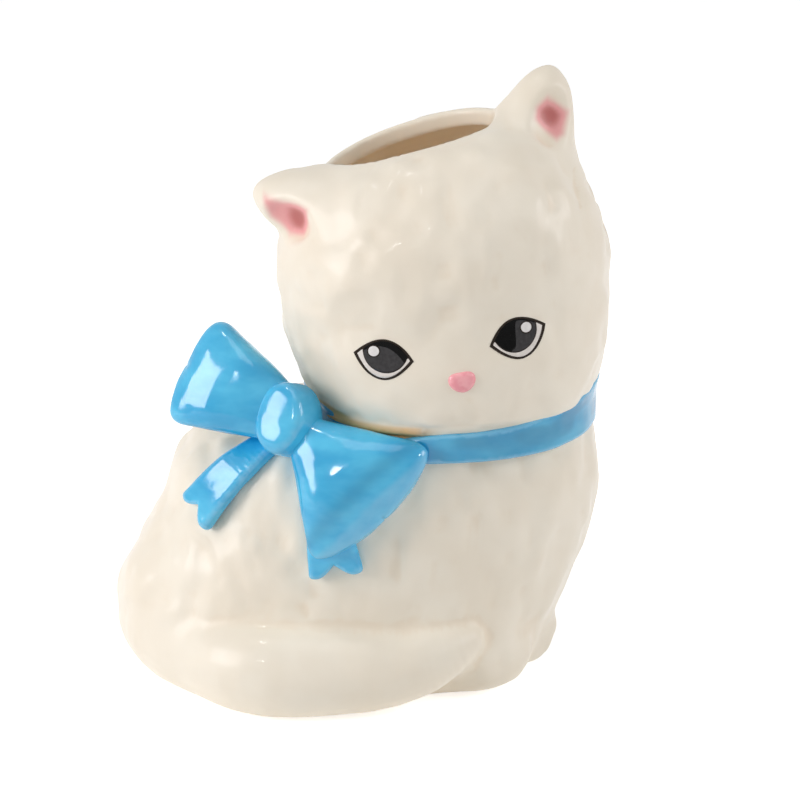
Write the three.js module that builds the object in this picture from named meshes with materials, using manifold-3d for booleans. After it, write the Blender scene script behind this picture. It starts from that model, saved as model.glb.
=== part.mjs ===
// Seated cat flower vase in glazed ceramic: a hollow torso and a hollow head with a slot mouth in its
// crown, luted together, with applied ears, tail, paws and nose, two fired-on eye transfers, and a
// ribbon collar with a bow. Millimetres, +Z up. The face looks along -Y, and left and right are as
// seen by someone facing it. The origin is on the floor, under the middle of the object.
import * as THREE from "three";
import { mergeVertices } from "three/addons/utils/BufferGeometryUtils.js";
import Module from "manifold-3d";

const wasm = await Module();
wasm.setup();

// Driving dimensions
const WALL = 5; // thickness of the cast shells
const FLOOR = 7; // thickness of the vase's bottom
const LUTE = 0.3; // width of the joint line between two luted pieces
const LIFT = 0.4; // how far the applied pieces stay above the floor that the foot stands on

// Torso: sections from the foot up, each a rise above the one below it. front and back are reaches.
const FOOT = { middle: -8.5, length: 117, front: 36, back: 42 };
const HEEL = { rise: 8, middle: -9.8, length: 130.5, front: 44, back: 46 };
const HAUNCH = { rise: 18, middle: -7.8, length: 144.5, front: 48, back: 49 };
const CHEST = { rise: 33, middle: 5.2, length: 138.5, front: 47.5, back: 48 };
const SHOULDER = { rise: 16, middle: 8.2, length: 131.5, front: 45, back: 45 };
const NAPE = { rise: 8, middle: 14.5, length: 115, front: 43.5, back: 41 };
const NAPE_TO_NECK = 7;
const TORSO_FULLNESS = 2.15; // exponent of the sections, 2 for an ellipse
const FOOT_RIM = 9; // width of the ring that the vase stands on
const FOOT_RECESS = 2;

// Head: reaches from its middle, in a frame that rolls so that its right side is higher.
const HEAD_MIDDLE = { x: 25, y: -1.5 };
const HEAD_ABOVE_NECK = 41.5;
const HEAD_ROLL = 9.5; // degrees
const HEAD_WIDTH = 104;
const HEAD_FRONT = 48.5;
const HEAD_BACK = 45;
const HEAD_TOP = 48;
const HEAD_BOTTOM = 64;
const CROWN_SLANT = 6.5; // degrees that the crown rises to the right, on top of the roll
const HEAD_FULLNESS = 2.25; // exponents: round the head, over the crown, down the cheeks and chin
const CROWN_FULLNESS = 2.45;
const CHEEK_FULLNESS = 2.2;
const CHIN_FULLNESS = 2.6;
const NECK_LIP = 1; // how far the torso's rim stands out past the head's

// Mouth of the vase, a slot through the crown. turn is its angle in degrees, seen from above.
const MOUTH = { x: -2.9, y: -1.5, length: 53.6, width: 38.5, fullness: 2.2, turn: -7 };

// Ears: each from a root inside the crown to its tip, in the head's frame, as wide and thick at the root.
// fromTip and aside place the hollow on the ear's front, and turn is its angle in degrees.
const EAR_LEFT = {
  root: [-24, -12, 25.5],
  tip: [-53.5, -7, 37.3],
  width: 33.5,
  thickness: 40,
  hollow: { fromTip: 14, aside: 3.8, turn: 24 },
};
const EAR_RIGHT = {
  root: [27.5, -5, 27],
  tip: [44, 0, 59.5],
  width: 36,
  thickness: 32,
  hollow: { fromTip: 15, aside: -4, turn: -6 },
};
const EAR_HOLLOW = { length: 17, width: 13, depth: 3.4 };

// Tail: along the torso's foot, turn by turn. sink is how deep its middle lies in the torso's side.
const TAIL = [
  { turn: 188, height: 17, sink: 12, radius: 12 },
  { turn: 208, height: 16, sink: 13.5, radius: 15 },
  { turn: 232, height: 15, sink: 10.5, radius: 15.5 },
  { turn: 254, height: 15, sink: 1, radius: 15.5 },
  { turn: 274, height: 15.5, sink: 1.5, radius: 14.5 },
  { turn: 287, height: 16.5, sink: 1.5, radius: 12.5 },
  { turn: 297, height: 20, sink: 1, radius: 9.5 },
  { turn: 302.5, height: 22.5, sink: 0.5, radius: 6.5 },
];

// Paws: rounded toes at the foot of the chest, by their place on the torso's side.
const PAW_LEFT = { turn: 319, sink: 11, reach: 17, spread: 19, height: 26 };
const PAW_RIGHT = { turn: 357, sink: 7.5, reach: 12.5, spread: 12, height: 25 };

// Ribbon collar around the neck, thin and low under the chin that presses on it. It falls by
// COLLAR_TILT degrees from right to left.
const COLLAR_BELOW_NECK = 6;
const COLLAR_TILT = 2;
const COLLAR = { height: 16.5, thickness: 3.8 };
const COLLAR_CHIN = { height: 9.5, thickness: 1.6 };
const COLLAR_EDGE = 1.2; // rounding of the ribbon's edges

// Bow: a knot beside the collar, two puffed loops and two ribbon ends
// flare is the exponent of a loop's growing width, 1 for straight sides, and fullness that of its section.
// bulge is how far the middle of its end stands out past the corners, which are rounded by corner.
const KNOT = { turn: 214.5, out: 12.7, above: 5.2, width: 20.5, thickness: 24, height: 24 };
const LOOP_UPPER = {
  along: [-0.86, 0.33, 0.36],
  across: [0.2, 0.31, 0.93],
  length: 35.8,
  root: 13.5,
  width: 36.8,
  thickness: 18.5,
  flare: 0.8,
  fullness: 3,
  bulge: 2.5,
  corner: 5,
};
const LOOP_LOWER = {
  along: [0.67, -0.43, -0.61],
  across: [0.64, 0.18, 0.75],
  length: 36.5,
  root: 6.5,
  width: 53,
  thickness: 20,
  flare: 1.05,
  fullness: 2.3,
  bulge: 6,
  corner: 7,
};
// Share of a loop's full thickness that it has at places along its length
const LOOP_CROWN = [[0, 0.5], [0.3, 0.84], [0.55, 1], [0.8, 0.85], [1, 0.5]];

// Ribbon ends: places down the torso's front, from the knot's middle. Each widens from root to width.
const END_LEFT = {
  root: 10,
  width: 15.5,
  route: [
    { x: -5, fall: 9 },
    { x: -18, fall: 18 },
    { x: -29.5, fall: 32.5 },
  ],
};
const END_RIGHT = {
  root: 8,
  width: 17.5,
  route: [
    { x: 8, fall: 8 },
    { x: 10.5, fall: 26 },
    { x: 13.5, fall: 45.5 },
  ],
};
const END_THICKNESS = 5;
const END_NOTCH = 4;
const END_FULLNESS = 3.3;

// Face: transfers and nose, in the head's frame.
// above and below are how far the lids reach from the line between an eye's corners. tilt raises the
// outer corners and turn swings both eyes the same way, in degrees.
const EYES = { spacing: 41.5, height: -11.3, width: 18.3, above: 5.6, below: 6.9, tilt: 11, turn: -3 };
const EYE_FILM = 0.6; // thickness of a transfer
const NOSE = { x: 1.7, height: -22, width: 8.2, tall: 6.8, depth: 5 };

// Facets
const SHELL_SIDES = 36;
const SMALL_SIDES = 18;
const LOOP_SIDES = 24;
const END_SIDES = 16;
const HEAD_RINGS = 19;
const TORSO_RING_STEP = 5;
const EAR_RINGS = 9;
const TAIL_RINGS = 18;
const LOOP_RINGS = 9;
const END_RINGS = 9;

const vector = (x, y, z) => new THREE.Vector3(x, y, z);
const radians = THREE.MathUtils.degToRad;
const lerp = THREE.MathUtils.lerp;
const clamp = THREE.MathUtils.clamp;
const QUARTER = Math.PI / 2;
const RIGHT = vector(1, 0, 0);
const BACKWARD = vector(0, 1, 0);
const UP = vector(0, 0, 1);

const signedPower = (base, exponent) => Math.sign(base) * Math.abs(base) ** exponent;
const spread = (count, low, high) =>
  Array.from({ length: count }, (_, i) => lerp(low, high, i / (count - 1)));
const turnsOf = (sides) => Array.from({ length: sides }, (_, i) => (2 * Math.PI * i) / sides);

// The place between low and high where a rising function passes zero.
function crossing(rising, low, high) {
  for (let i = 0; i < 40; i++) {
    const middle = (low + high) / 2;
    if (rising(middle) < 0) low = middle;
    else high = middle;
  }
  return low;
}

// A smooth curve through (place, value) points: cubic pieces with the slopes of their neighbours.
function through(points) {
  const last = points.length - 1;
  const slopes = points.map((_, i) => {
    const before = points[Math.max(i - 1, 0)];
    const after = points[Math.min(i + 1, last)];
    return (after[1] - before[1]) / (after[0] - before[0]);
  });
  return (place) => {
    const next = points.findIndex((point) => point[0] > place);
    const i = next < 0 ? last - 1 : Math.max(next - 1, 0);
    const span = points[i + 1][0] - points[i][0];
    const t = clamp((place - points[i][0]) / span, 0, 1);
    const rise = points[i + 1][1] - points[i][1];
    const start = span * slopes[i];
    const end = span * slopes[i + 1];
    return points[i][1] + t * (start + t * (3 * rise - 2 * start - end + t * (start + end - 2 * rise)));
  };
}

// A closed solid over rings of points, which run anticlockwise seen from the last ring.
function loft(rings) {
  const sides = rings[0].length;
  const middle = (ring) => ring.reduce((sum, point) => sum.add(point), vector(0, 0, 0)).divideScalar(sides);
  const points = [...rings.flat(), middle(rings[0]), middle(rings.at(-1))];
  const end = (rings.length - 1) * sides;
  const index = [];
  for (let i = 0; i < sides; i++) {
    const next = (i + 1) % sides;
    for (let low = 0; low < end; low += sides) {
      const high = low + sides;
      index.push(low + i, low + next, high + next, low + i, high + next, high + i);
    }
    index.push(points.length - 2, next, i, points.length - 1, end + i, end + next);
  }
  return new THREE.BufferGeometry().setFromPoints(points).setIndex(index);
}

// One ring of a rod: an oval in the plane of two directions, whose cross product is the rod's own.
function oval(middle, across, up, halfWidth, halfHeight, fullness = 2, sides = SMALL_SIDES) {
  return turnsOf(sides).map((turn) =>
    middle
      .clone()
      .addScaledVector(across, halfWidth * signedPower(Math.cos(turn), 2 / fullness))
      .addScaledVector(up, halfHeight * signedPower(Math.sin(turn), 2 / fullness)),
  );
}

// The outward normal of a surface point(turn, rise), and its rings moved out along that normal.
function normalOf(point, turn, rise) {
  const step = 1e-3;
  const around = point(turn + step, rise).sub(point(turn - step, rise));
  const up = point(turn, rise + step).sub(point(turn, rise - step));
  return around.cross(up).normalize();
}

function skin(point, rises, out) {
  return rises.map((rise) =>
    turnsOf(SHELL_SIDES).map((turn) => point(turn, rise).addScaledVector(normalOf(point, turn, rise), out)),
  );
}

// A closed geometry as a solid that can be joined and cut.
function solid(geometry) {
  const bare = geometry.clone();
  bare.deleteAttribute("normal");
  bare.deleteAttribute("uv");
  const merged = mergeVertices(bare, 1e-4);
  return new wasm.Manifold(
    new wasm.Mesh({
      numProp: 3,
      vertProperties: new Float32Array(merged.attributes.position.array),
      triVerts: new Uint32Array(merged.index.array),
    }),
  );
}

const cut = (body, ...cutters) => cutters.reduce((left, cutter) => left.subtract(cutter), body);

// A ball with its poles up and down
function ball(halfLength, halfDepth, halfHeight) {
  const sphere = new THREE.SphereGeometry(1, SMALL_SIDES, SMALL_SIDES / 2 + 1);
  return sphere.rotateX(QUARTER).scale(halfLength, halfDepth, halfHeight);
}

// Head surface: rise runs from the chin's pole to the crown's.
const POLE_GAP = 0.04; // radians left open at each pole, closed by a cap
const headRises = spread(HEAD_RINGS, POLE_GAP - QUARTER, QUARTER - POLE_GAP);

function headPoint(turn, rise) {
  const inFront = Math.max(0, -Math.sin(turn)) ** 2;
  const below = lerp(CHEEK_FULLNESS, CHIN_FULLNESS, inFront);
  const fullness = rise > 0 ? CROWN_FULLNESS : below;
  const wide = signedPower(Math.cos(rise), 2 / fullness);
  const tall = signedPower(Math.sin(rise), 2 / fullness);
  const deep = signedPower(Math.sin(turn), 2 / HEAD_FULLNESS);
  const x = (HEAD_WIDTH / 2) * wide * signedPower(Math.cos(turn), 2 / HEAD_FULLNESS);
  const y = (deep < 0 ? HEAD_FRONT : HEAD_BACK) * wide * deep;
  const top = HEAD_TOP + x * Math.tan(radians(CROWN_SLANT));
  return vector(x, y, (rise > 0 ? top : HEAD_BOTTOM) * tall);
}

// Heights of the torso's sections
const levels = [{ ...FOOT, height: 0 }];
for (const level of [HEEL, HAUNCH, CHEST, SHOULDER, NAPE]) {
  levels.push({ ...level, height: levels.at(-1).height + level.rise });
}
const NECK = levels.at(-1).height + NAPE_TO_NECK;

const head = new THREE.Group();
head.position.set(HEAD_MIDDLE.x, HEAD_MIDDLE.y, NECK + HEAD_ABOVE_NECK);
head.rotation.y = -radians(HEAD_ROLL);
head.updateMatrix();

const headSolid = (out) => solid(loft(skin(headPoint, headRises, out)).applyMatrix4(head.matrix));

// The neck's section is what the head has at the neck's height, and a lip.
function neckPoint(turn) {
  const place = (rise) => headPoint(turn, rise).applyMatrix4(head.matrix);
  return place(crossing((rise) => place(rise).z - NECK, POLE_GAP - QUARTER, 0));
}
const neckBox = new THREE.Box3().setFromPoints(turnsOf(2 * SHELL_SIDES).map(neckPoint));
levels.push({
  height: NECK,
  middle: (neckBox.min.x + neckBox.max.x) / 2,
  length: neckBox.max.x - neckBox.min.x + 2 * NECK_LIP,
  front: -neckBox.min.y + NECK_LIP,
  back: neckBox.max.y + NECK_LIP,
});

// Torso surface: rise is the height above the floor.
const profile = (name) => through(levels.map((level) => [level.height, level[name]]));
const torsoMiddle = profile("middle");
const torsoLength = profile("length");
const torsoFront = profile("front");
const torsoBack = profile("back");

function torsoPoint(turn, height) {
  const across = signedPower(Math.cos(turn), 2 / TORSO_FULLNESS);
  const deep = signedPower(Math.sin(turn), 2 / TORSO_FULLNESS);
  const reach = deep < 0 ? torsoFront(height) : torsoBack(height);
  return vector(torsoMiddle(height) + (torsoLength(height) / 2) * across, reach * deep, height);
}

const torsoNormal = (turn, height) => normalOf(torsoPoint, turn, height);
const torsoRises = spread(Math.round(NECK / TORSO_RING_STEP) + 1, 0, NECK);

function torsoSolid(out) {
  const rings = skin(torsoPoint, torsoRises, out);
  rings[0].forEach((point) => point.setZ(-out));
  rings.at(-1).forEach((point) => point.setZ(NECK + out));
  return solid(loft(rings));
}

// Torso shell: a cavity that is open at the neck, and a recess that leaves a ring to stand on
function torsoCavity() {
  const rings = skin(torsoPoint, torsoRises.filter((rise) => rise > FLOOR), -WALL);
  rings.unshift(skin(torsoPoint, [FLOOR], -WALL)[0].map((point) => point.setZ(FLOOR)));
  rings.push(rings.at(-1).map((point) => point.clone().setZ(NECK + WALL)));
  return solid(loft(rings));
}

function footRecess() {
  const [ring] = skin(torsoPoint, [0], -FOOT_RIM);
  return solid(loft([-FOOT_RECESS, FOOT_RECESS].map((z) => ring.map((point) => point.clone().setZ(z)))));
}

const torsoCutter = torsoSolid(LUTE);
const torsoShell = cut(torsoSolid(0), torsoCavity(), footRecess());

// Head shell: open at the neck and at the mouth
function mouthCut() {
  const across = RIGHT.clone().applyAxisAngle(UP, radians(MOUTH.turn));
  const backward = UP.clone().cross(across);
  const rings = [0, 2 * HEAD_TOP].map((z) => {
    const middle = vector(MOUTH.x, MOUTH.y, z);
    return oval(middle, across, backward, MOUTH.length / 2, MOUTH.width / 2, MOUTH.fullness, SHELL_SIDES);
  });
  return solid(loft(rings).applyMatrix4(head.matrix));
}

const headCutter = headSolid(LUTE);
const mouthCutter = mouthCut();
const headShell = cut(headSolid(0), headSolid(-WALL), torsoCutter, mouthCutter);

// Ears: an oval horn with a round tip, scooped in front
function ear(shape) {
  const root = vector(...shape.root);
  const tip = vector(...shape.tip);
  const axis = tip.clone().sub(root).normalize();
  const across = axis.clone().cross(BACKWARD).normalize();
  const facing = axis.clone().cross(across);
  const length = tip.distanceTo(root);
  const wide = shape.width / 2;
  const thick = shape.thickness / 2;
  const rings = spread(EAR_RINGS, 1, 0.1).map((size) =>
    oval(root.clone().lerp(tip, 1 - size ** 2), across, facing, wide * size, thick * size),
  );
  const horn = solid(loft(rings).applyMatrix4(head.matrix));
  const { fromTip, aside, turn } = shape.hollow;
  const rise = thick * Math.sqrt(fromTip / length - (aside / wide) ** 2);
  const place = tip.clone().addScaledVector(axis, -fromTip);
  place.addScaledVector(across, aside).addScaledVector(facing, rise);
  const normal = axis.clone().divideScalar(length);
  normal.addScaledVector(across, (2 * aside) / wide ** 2).addScaledVector(facing, (2 * rise) / thick ** 2);
  normal.normalize();
  const run = axis.clone().projectOnPlane(normal).normalize().applyAxisAngle(normal, radians(turn));
  const scoop = ball(EAR_HOLLOW.length / 2, EAR_HOLLOW.width / 2, EAR_HOLLOW.depth);
  const basis = new THREE.Matrix4().makeBasis(run, normal.clone().cross(run), normal);
  scoop.applyMatrix4(basis.setPosition(place));
  return cut(horn, solid(scoop.applyMatrix4(head.matrix)), headCutter, mouthCutter);
}

// Everything above the floor's clearance, as a block
function offFloor() {
  const size = 4 * (NECK + HEAD_ABOVE_NECK + HEAD_TOP);
  return solid(new THREE.BoxGeometry(size, size, size).translate(0, 0, size / 2 + LIFT));
}

// Tail: a tapered rod with round ends that hugs the torso
const TAIL_END = 0.06; // share of its route over which each end rounds off
function tail(out) {
  const places = TAIL.map(({ turn, height, sink }) => {
    const place = torsoPoint(radians(turn), height);
    return place.addScaledVector(torsoNormal(radians(turn), height), -sink).setZ(height);
  });
  const path = new THREE.CatmullRomCurve3(places);
  const radiusAt = through(TAIL.map(({ radius }, i) => [i / (TAIL.length - 1), radius]));
  const start = [0.01, 0.1, 0.35, 0.65].map((share) => share * TAIL_END);
  const end = start.map((share) => 1 - share).reverse();
  const shares = [...start, ...spread(TAIL_RINGS, TAIL_END, 1 - TAIL_END), ...end];
  const rings = shares.map((share) => {
    const along = path.getTangent(share);
    const sideways = UP.clone().cross(along).normalize();
    const toEnd = Math.min(1, share / TAIL_END, (1 - share) / TAIL_END);
    const radius = (radiusAt(share) + out) * Math.sqrt(1 - (1 - toEnd) ** 2);
    return oval(path.getPoint(share), sideways, along.clone().cross(sideways), radius, radius);
  });
  return solid(loft(rings));
}

// Paws
function paw(shape, out) {
  const turn = radians(shape.turn);
  const level = shape.height / 2 - LIFT;
  const outward = torsoNormal(turn, level).setZ(0).normalize();
  const place = torsoPoint(turn, level).addScaledVector(outward, -shape.sink);
  const toe = ball(shape.reach + out, shape.spread + out, shape.height / 2 + out);
  return solid(toe.rotateZ(Math.atan2(outward.y, outward.x)).translate(place.x, place.y, level));
}

const standing = offFloor();
const tailBody = cut(tail(0).intersect(standing), torsoCutter);
const pawLeft = cut(paw(PAW_LEFT, 0).intersect(standing), torsoCutter, tail(LUTE));
const pawRight = cut(paw(PAW_RIGHT, 0).intersect(standing), torsoCutter);

// Collar: share runs from its lower edge to its upper edge.
function collarPoint(turn, share, out) {
  const inFront = Math.max(0, -Math.sin(turn)) ** 2;
  const height = lerp(COLLAR.height, COLLAR_CHIN.height, inFront);
  const thickness = lerp(COLLAR.thickness, COLLAR_CHIN.thickness, inFront);
  const outward = torsoNormal(turn, NECK).setZ(0).normalize();
  const place = torsoPoint(turn, NECK).addScaledVector(outward, thickness + out);
  const fall = (neckBox.max.x - place.x) * Math.tan(radians(COLLAR_TILT));
  return place.setZ(NECK - COLLAR_BELOW_NECK - fall + share * height);
}

function collarBand(out) {
  const edge = COLLAR_EDGE / COLLAR.height;
  const rings = [
    [-out / COLLAR.height, out - COLLAR_EDGE],
    [edge, out],
    [1 - edge, out],
    [1 + out / COLLAR.height, out - COLLAR_EDGE],
  ].map(([share, grow]) => turnsOf(SHELL_SIDES).map((turn) => collarPoint(turn, share, grow)));
  return solid(loft(rings));
}

const collar = cut(collarBand(0), torsoCutter, headCutter);

// Bow knot
const knotTurn = radians(KNOT.turn);
const knotOut = torsoNormal(knotTurn, NECK).setZ(0).normalize();
const bow = new THREE.Group();
bow.position.copy(collarPoint(knotTurn, 0.5, 0));
bow.position.addScaledVector(knotOut, KNOT.out).addScaledVector(UP, KNOT.above);
bow.updateMatrix();

function knot(out) {
  const bead = ball(KNOT.width / 2 + out, KNOT.thickness / 2 + out, KNOT.height / 2 + out);
  return solid(bead.applyMatrix4(bow.matrix));
}

// Ribbon ends: strips that lie down the torso's front and close in a swallow tail
function frontTurn(x, height) {
  const share = (x - torsoMiddle(height)) / (torsoLength(height) / 2);
  return -Math.acos(signedPower(clamp(share, -1, 1), TORSO_FULLNESS / 2));
}

function ribbonEnd(shape, out) {
  const stations = shape.route.map(({ x, fall }) => {
    const height = bow.position.z - fall;
    const turn = frontTurn(bow.position.x + x, height);
    const normal = torsoNormal(turn, height);
    return { normal, place: torsoPoint(turn, height).addScaledVector(normal, END_THICKNESS / 2) };
  });
  const path = new THREE.CatmullRomCurve3(stations.map((station) => station.place));
  const normals = new THREE.CatmullRomCurve3(stations.map((station) => station.normal));
  const frameAt = (share) => {
    const along = path.getTangent(share);
    const across = normals.getPoint(share).cross(along).normalize();
    return { along, across, up: along.clone().cross(across), place: path.getPoint(share) };
  };
  const rings = spread(END_RINGS, 0, 1).map((share) => {
    const { along, across, up, place } = frameAt(share);
    place.addScaledVector(along, share === 1 ? out : 0);
    const half = lerp(shape.root, shape.width, share) / 2 + out;
    return oval(place, across, up, half, END_THICKNESS / 2 + out, END_FULLNESS, END_SIDES);
  });
  const { along, across, up, place } = frameAt(1);
  const notch = new THREE.CylinderGeometry(1, 1, 1, 4).rotateX(QUARTER);
  notch.scale(shape.width / 4, END_NOTCH, 4 * END_THICKNESS);
  notch.applyMatrix4(new THREE.Matrix4().makeBasis(across, up.clone().cross(across), up).setPosition(place));
  const strip = solid(loft(rings));
  return out > 0 ? strip : cut(strip, solid(notch));
}

// Loops: puffed pads that flare from the knot to a blunt end
function loop(shape, out) {
  const along = vector(...shape.along).normalize();
  const across = vector(...shape.across).projectOnPlane(along).normalize();
  const facing = along.clone().cross(across);
  const { length, corner } = shape;
  const crown = through(LOOP_CROWN);
  const ringAt = (reach) => {
    const share = reach / length;
    const inset = corner - Math.sqrt(corner ** 2 - Math.max(0, corner - length + reach) ** 2);
    const wide = lerp(shape.root, shape.width, share ** shape.flare) / 2 - inset + out;
    const thick = (crown(share) * shape.thickness) / 2 + out;
    const place = along.clone().multiplyScalar(reach + share * out);
    return oval(place, across, facing, wide, thick, shape.fullness, LOOP_SIDES).map((point) => {
      const aside = (2 * point.dot(across)) / shape.width;
      return point.addScaledVector(along, shape.bulge * share ** 2 * (1 - aside ** 2));
    });
  };
  const rings = spread(LOOP_RINGS, 0.02 * length, length - corner).map(ringAt);
  for (const degrees of [30, 55, 80]) {
    rings.push(ringAt(length - corner * (1 - Math.sin(radians(degrees)))));
  }
  return solid(loft(rings).applyMatrix4(bow.matrix));
}

const neckCutters = [torsoCutter, headCutter, collarBand(LUTE)];
const knotCutter = knot(LUTE);
const endCutters = [ribbonEnd(END_LEFT, LUTE), ribbonEnd(END_RIGHT, LUTE)];
const knotBody = cut(knot(0), ...neckCutters);
const bowEnds = [END_LEFT, END_RIGHT].map((shape) => cut(ribbonEnd(shape, 0), ...neckCutters, knotCutter));

// A loop is trimmed where it lies on its neighbours, and slivers that get caught under it fall away.
function trimmedLoop(shape) {
  const bodies = cut(loop(shape, 0), ...neckCutters, knotCutter, ...endCutters).decompose();
  return bodies.reduce((most, body) => (body.volume() > most.volume() ? body : most));
}

// Face: the place on the head's front at a distance across and a height
function facePoint(x, height) {
  let turn = -QUARTER;
  let rise = 0;
  for (let i = 0; i < 20; i++) {
    rise = crossing((angle) => headPoint(turn, angle).z - height, -QUARTER, QUARTER);
    const half = headPoint(0, rise).x;
    turn = -Math.acos(signedPower(clamp(x / half, -1, 1), HEAD_FULLNESS / 2));
  }
  return headPoint(turn, rise);
}

// Eyes: an almond outline on a film that follows the head
function eye(side) {
  const half = EYES.width / 2;
  const outline = new THREE.Shape();
  outline.moveTo(-half, 0);
  outline.quadraticCurveTo(0, -2 * EYES.below, half, 0);
  outline.quadraticCurveTo(0, 2 * EYES.above, -half, 0);
  const place = facePoint((side * EYES.spacing) / 2, EYES.height);
  const depth = HEAD_FRONT;
  const prism = new THREE.ExtrudeGeometry(outline, { depth, curveSegments: 8, bevelEnabled: false });
  prism.rotateX(QUARTER).rotateY(-radians(side * EYES.tilt + EYES.turn));
  prism.translate(place.x, place.y + depth / 2, place.z);
  const film = cut(headSolid(LUTE + EYE_FILM), headCutter);
  return solid(prism.applyMatrix4(head.matrix)).intersect(film);
}

function nose() {
  const bead = ball(NOSE.width / 2, NOSE.depth / 2, NOSE.tall / 2);
  const place = facePoint(NOSE.x, NOSE.height);
  return cut(solid(bead.translate(place.x, place.y, place.z).applyMatrix4(head.matrix)), headCutter);
}

// Materials
const glaze = (color) => new THREE.MeshStandardMaterial({ color, roughness: 0.12, metalness: 0 });
const cream = glaze(0xf3ebdf);
const blue = glaze(0x45aee6);
const pink = glaze(0xf2a3b1);
const ink = glaze(0x2e2d2c);

// Each solid becomes a named mesh in the group that carries it.
const cat = new THREE.Group();
cat.add(head, bow);

function piece(name, body, material, group = cat) {
  const { vertProperties, triVerts } = body.getMesh();
  const geometry = new THREE.BufferGeometry()
    .setAttribute("position", new THREE.BufferAttribute(vertProperties, 3))
    .setIndex(new THREE.BufferAttribute(triVerts, 1));
  geometry.applyMatrix4(group.matrix.clone().invert());
  geometry.computeVertexNormals();
  const mesh = new THREE.Mesh(geometry, material);
  mesh.name = name;
  group.add(mesh);
}

piece("torso_shell", torsoShell, cream);
piece("tail", tailBody, cream);
piece("front_paw_left", pawLeft, cream);
piece("front_paw_right", pawRight, cream);
piece("head_shell", headShell, cream, head);
piece("ear_left", ear(EAR_LEFT), cream, head);
piece("ear_right", ear(EAR_RIGHT), cream, head);
piece("eye_left", eye(-1), ink, head);
piece("eye_right", eye(1), ink, head);
piece("nose", nose(), pink, head);
piece("collar_ribbon", collar, blue);
piece("bow_knot", knotBody, blue, bow);
piece("bow_loop_upper", trimmedLoop(LOOP_UPPER), blue, bow);
piece("bow_loop_lower", trimmedLoop(LOOP_LOWER), blue, bow);
piece("bow_end_left", bowEnds[0], blue, bow);
piece("bow_end_right", bowEnds[1], blue, bow);

// The cat stands with the middle of its bounding box over the origin.
const extent = new THREE.Box3().setFromObject(cat, true);
cat.position.set(-(extent.min.x + extent.max.x) / 2, -(extent.min.y + extent.max.y) / 2, 0);
const vase = new THREE.Group();
vase.add(cat);

export default vase;
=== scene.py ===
"""Looks of the cat vase: a glazed ceramic kitten with a slot mouth in its head and a sky-blue bow.

Each piece is a field, the distance in millimetres from a point to its surface, negative inside. A field
is sampled on a grid and meshed, its points are moved on to the exact surface, and a shallow relief is
pressed into it. Lengths are millimetres in the vase's own frame, whose origin is on the floor under the
torso's axis. The face looks along -Y, and left and right are as seen by someone facing it.
"""
import itertools
import math

import bpy
import numpy as np
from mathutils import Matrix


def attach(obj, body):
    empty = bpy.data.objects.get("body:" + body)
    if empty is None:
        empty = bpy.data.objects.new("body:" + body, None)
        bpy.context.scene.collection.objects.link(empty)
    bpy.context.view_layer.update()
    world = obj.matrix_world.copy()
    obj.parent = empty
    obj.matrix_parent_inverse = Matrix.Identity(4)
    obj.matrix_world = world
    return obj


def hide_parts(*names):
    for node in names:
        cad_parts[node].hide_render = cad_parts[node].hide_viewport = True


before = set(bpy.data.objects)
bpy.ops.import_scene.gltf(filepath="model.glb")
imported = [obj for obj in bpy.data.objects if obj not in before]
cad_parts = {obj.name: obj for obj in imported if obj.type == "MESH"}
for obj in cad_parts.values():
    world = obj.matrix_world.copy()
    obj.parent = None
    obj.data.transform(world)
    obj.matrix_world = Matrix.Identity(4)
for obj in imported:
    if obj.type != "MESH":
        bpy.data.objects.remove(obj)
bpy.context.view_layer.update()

import openvdb

# Place of the vase in the part's frame
SHIFT = np.array([1.255, 5.771, 0.0])

# Torso: sections from the foot up. front and back are reaches from the torso's axis.
WALL = 5.0
FLOOR = 7.0
NECK = 90.0
TORSO = {
    "height": (0, 8, 26, 59, 75, 83),
    "middle": (-8.5, -9.8, -7.8, 5.2, 8.2, 14.5),
    "length": (117, 130.5, 144.5, 138.5, 131.5, 115),
    "front": (36, 44, 48, 47.5, 45, 43.5),
    "back": (42, 46, 49, 48, 45, 41),
}
TORSO_FULLNESS = 2.15
FOOT_RIM = 9.0
FOOT_RECESS = 2.0

# Head: reaches from its middle, in a frame that rolls so that its right side is higher
HEAD_MIDDLE = np.array([25.0, -1.5, NECK + 41.5])
HEAD_ROLL = 9.5
HEAD_WIDTH = 104.0
HEAD_FRONT = 48.5
HEAD_BACK = 45.0
HEAD_TOP = 48.0
HEAD_BOTTOM = 64.0
CROWN_SLANT = 6.5
HEAD_FULLNESS = 2.25
CROWN_FULLNESS = 2.45
CHEEK_FULLNESS = 2.2
CHIN_FULLNESS = 2.6
NECK_LIP = 1.0
SEAM_LAP = 1.5  # the two cream pieces run this far past the neck, so that no slit opens between them

# Mouth of the vase and ears, in the head's frame. An ear's hollow: from its tip, aside, turn in degrees.
# In the hollow, along and across: the corners of the pink patch, and its core's middle and reach.
MOUTH = {"x": -2.9, "y": -1.5, "length": 53.6, "width": 38.5, "fullness": 2.2, "turn": -7}
EARS = (
    {
        "root": (-24, -12, 25.5),
        "tip": (-53.5, -7, 37.3),
        "width": 33.5,
        "thickness": 40,
        "hollow": (14, 3.8, 24),
        "pink": ((9.6, -7.6), (-8, -4), (-4.5, 4.6), (2, 6), (8.5, 0.5)),
        "core": (-2.5, 0, 6),
    },
    {
        "root": (27.5, -5, 27),
        "tip": (44, 0, 59.5),
        "width": 36,
        "thickness": 32,
        "hollow": (15, -4.0, -6),
        "pink": ((6.6, 3), (2, 5.8), (-2, 5), (-6, -4), (-3, -6.2), (5, -5.8)),
        "core": (1.2, 0, 4.5),
    },
)
EAR_FILLET = 4.5
EAR_ROUNDING = 3.0
EAR_HOLLOW = {"length": 17, "width": 13, "depth": 3.4}

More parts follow.
